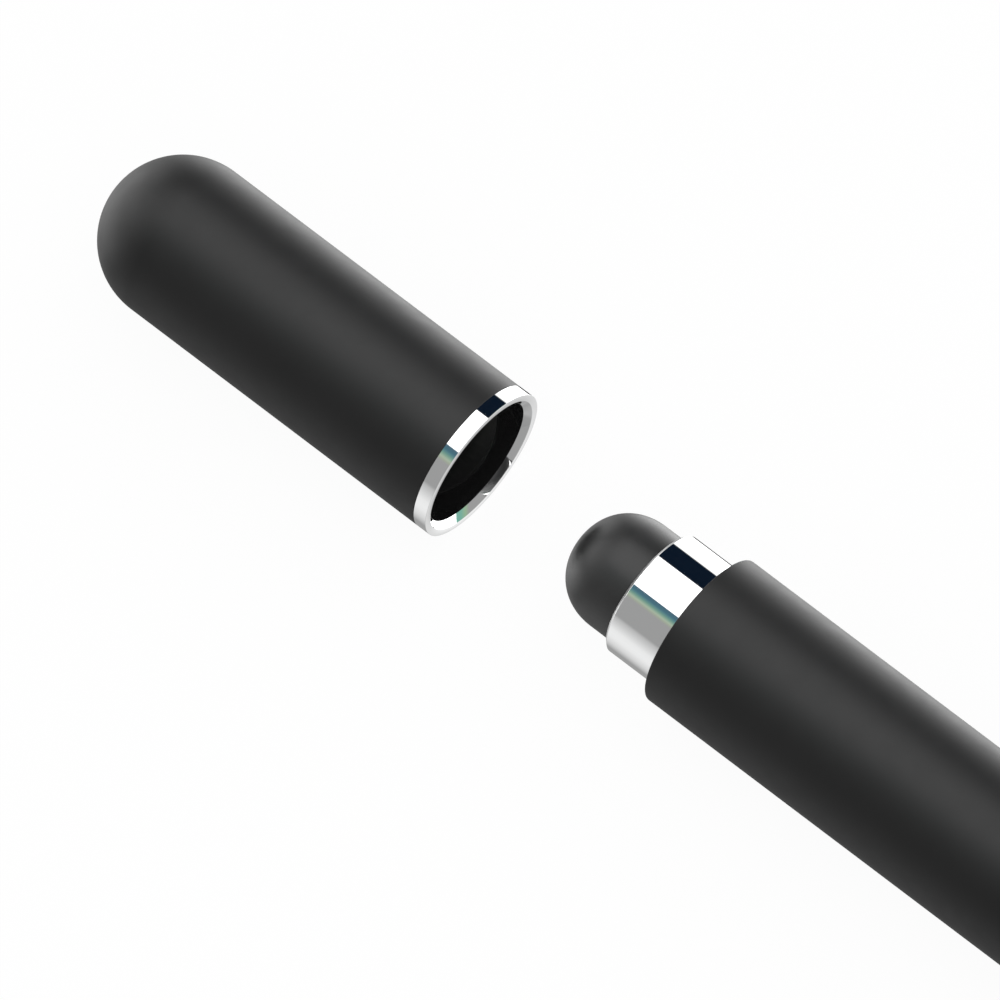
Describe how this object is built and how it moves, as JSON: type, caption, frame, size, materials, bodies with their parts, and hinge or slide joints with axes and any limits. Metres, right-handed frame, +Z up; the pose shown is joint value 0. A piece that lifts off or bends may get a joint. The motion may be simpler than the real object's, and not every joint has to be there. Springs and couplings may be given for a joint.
{
  "type": "stylus pen",
  "caption": "Slim round touch-screen stylus with a hollow soft nib in a plated collar, a domed tail, and a domed magnetic cap pulled off in line with the barrel.",
  "frame": {"origin": "on the surface that the pen lies on, below the middle of the overall length with the cap pulled off", "axes": "+X along the pen from the cap and nib to the tail, +Z up"},
  "size_m": [0.1548, 0.009, 0.009],
  "materials": {
    "matt_black_metal": "matte",
    "bright_plate": "polished",
    "gloss_black_plastic": "gloss",
    "magnet_plate": "satin",
    "nib_rubber": "matte",
    "turned_brass": "satin",
    "seal_rubber": "matte",
    "plain_steel": "satin"
  },
  "bodies": {
    "pen": {"barrel": "matt_black_metal", "collar": "bright_plate", "contact_spring": "plain_steel", "weight_bush_front": "seal_rubber", "counterweight": "plain_steel", "weight_bush_rear": "seal_rubber", "tail_plug": "matt_black_metal", "tail_o_ring": "seal_rubber"},
    "cap": {"cap_shell": "matt_black_metal", "cap_ring": "bright_plate", "cap_liner": "gloss_black_plastic", "cap_magnet": "magnet_plate", "cap_insert": "gloss_black_plastic"},
    "nib_seal": {"nib_seal": "seal_rubber"},
    "nib": {"nib_dome": "nib_rubber", "nib_core": "turned_brass"}
  },
  "joints": [
    {"name": "cap_pull", "type": "slide", "parent": "pen", "child": "cap", "axis": [1, 0, 0], "range_m": [0, 0.0149]},
    {"name": "nib_advance", "type": "slide", "parent": "pen", "child": "nib_seal", "axis": [-1, 0, 0], "range_m": [0, 0.003]},
    {"name": "nib_turn", "type": "hinge", "parent": "nib_seal", "child": "nib", "pos_m": [-0.04098, 0, 0.0045], "axis": [-1, 0, 0], "range_deg": [0, 2160]}
  ],
  "couplings": [
    {"joint": "nib_turn", "follows": "nib_advance", "rad_per_m": 12566}
  ]
}
